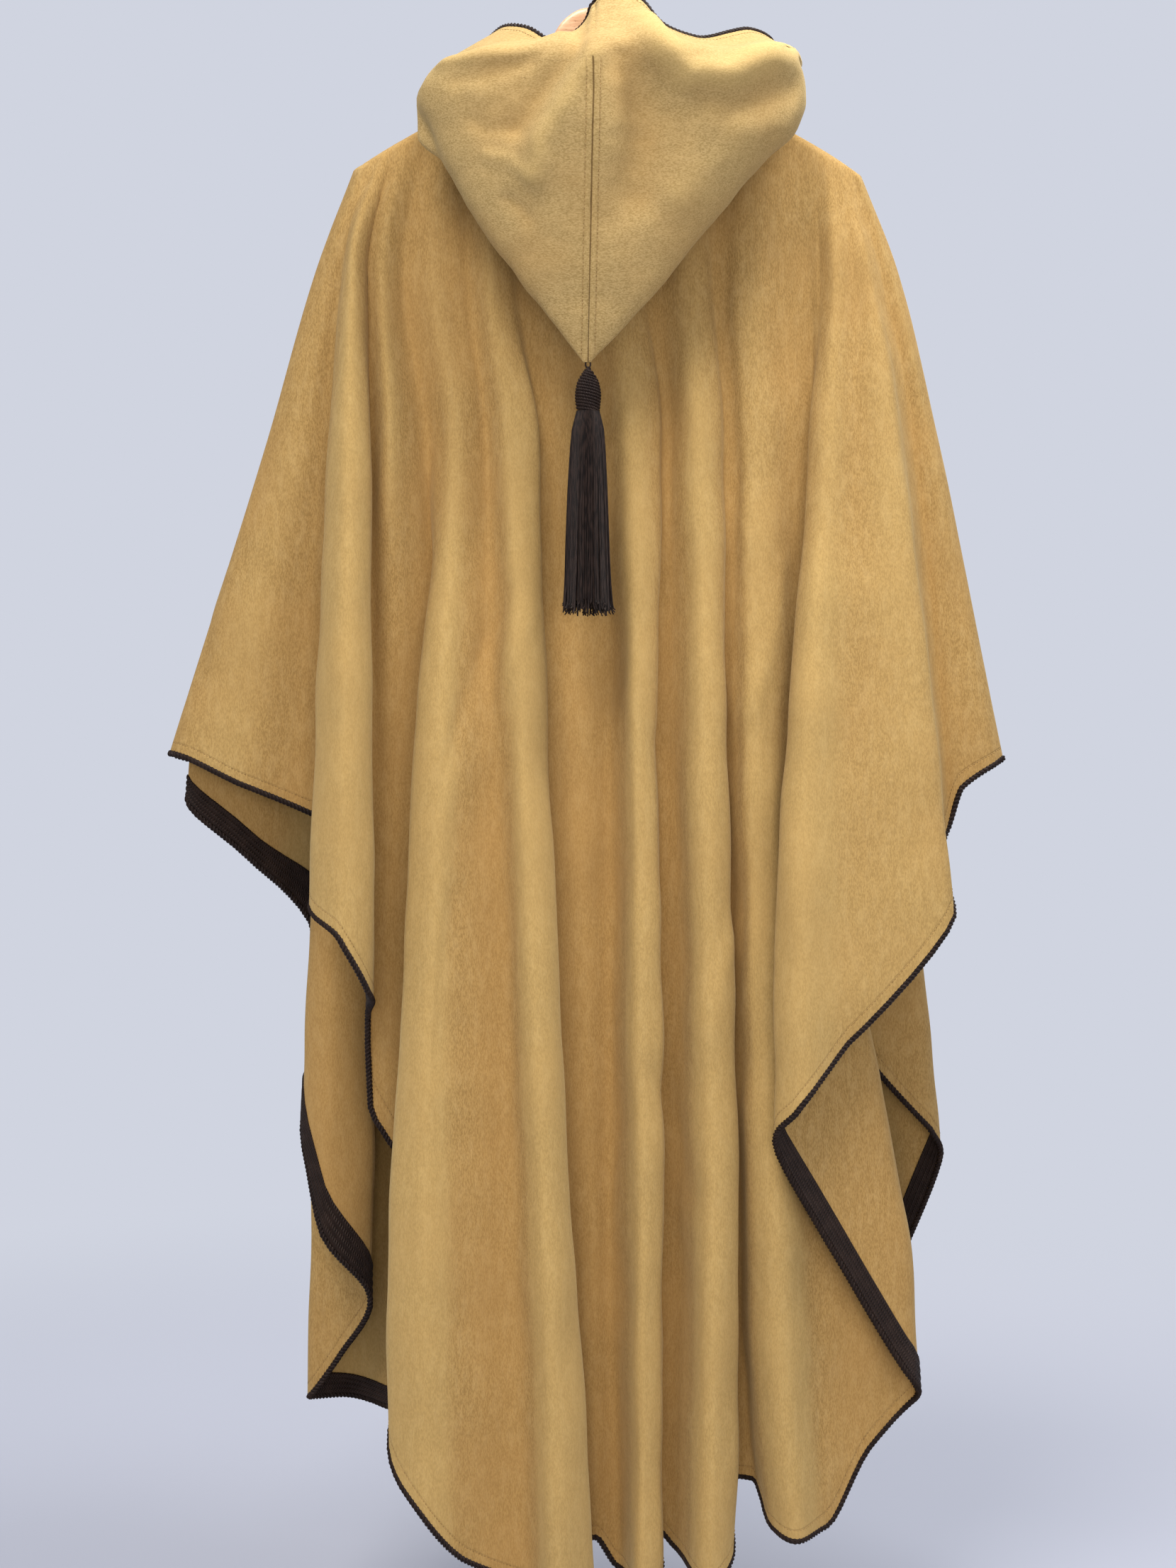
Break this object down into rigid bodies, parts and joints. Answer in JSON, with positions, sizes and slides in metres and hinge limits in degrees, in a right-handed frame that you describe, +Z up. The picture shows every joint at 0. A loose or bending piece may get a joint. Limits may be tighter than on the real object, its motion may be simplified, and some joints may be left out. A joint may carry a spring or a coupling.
{
  "type": "burnous hooded cloak on a hanger",
  "caption": "Sleeveless hooded wool cape draped over a wooden hanger, edges corded and braided, with a long tassel at the tip of the hood.",
  "frame": {"origin": "seat under the top of the hanger's hook, where a rail carries it", "axes": "+Z up, -Y towards whoever looks at the cloak's back, +Y towards its front opening, +X to the right seen from behind"},
  "size_m": [0.7537, 0.2546, 1.4698],
  "materials": {
    "wool": "brushed felted wool",
    "trim": "twisted and plaited silk-like cord",
    "wood": "varnished pale wood",
    "steel": "bright drawn wire"
  },
  "bodies": {
    "root": {"back": "wool", "back_cord": "trim", "back_braid": "trim", "front_left": "wool", "front_left_cord": "trim", "front_left_braid": "trim", "front_right": "wool", "front_right_cord": "trim", "front_right_braid": "trim", "hood": "wool", "hood_cord": "trim", "tassel": "trim", "hanger": "wood", "hook": "steel"}
  },
  "joints": []
}
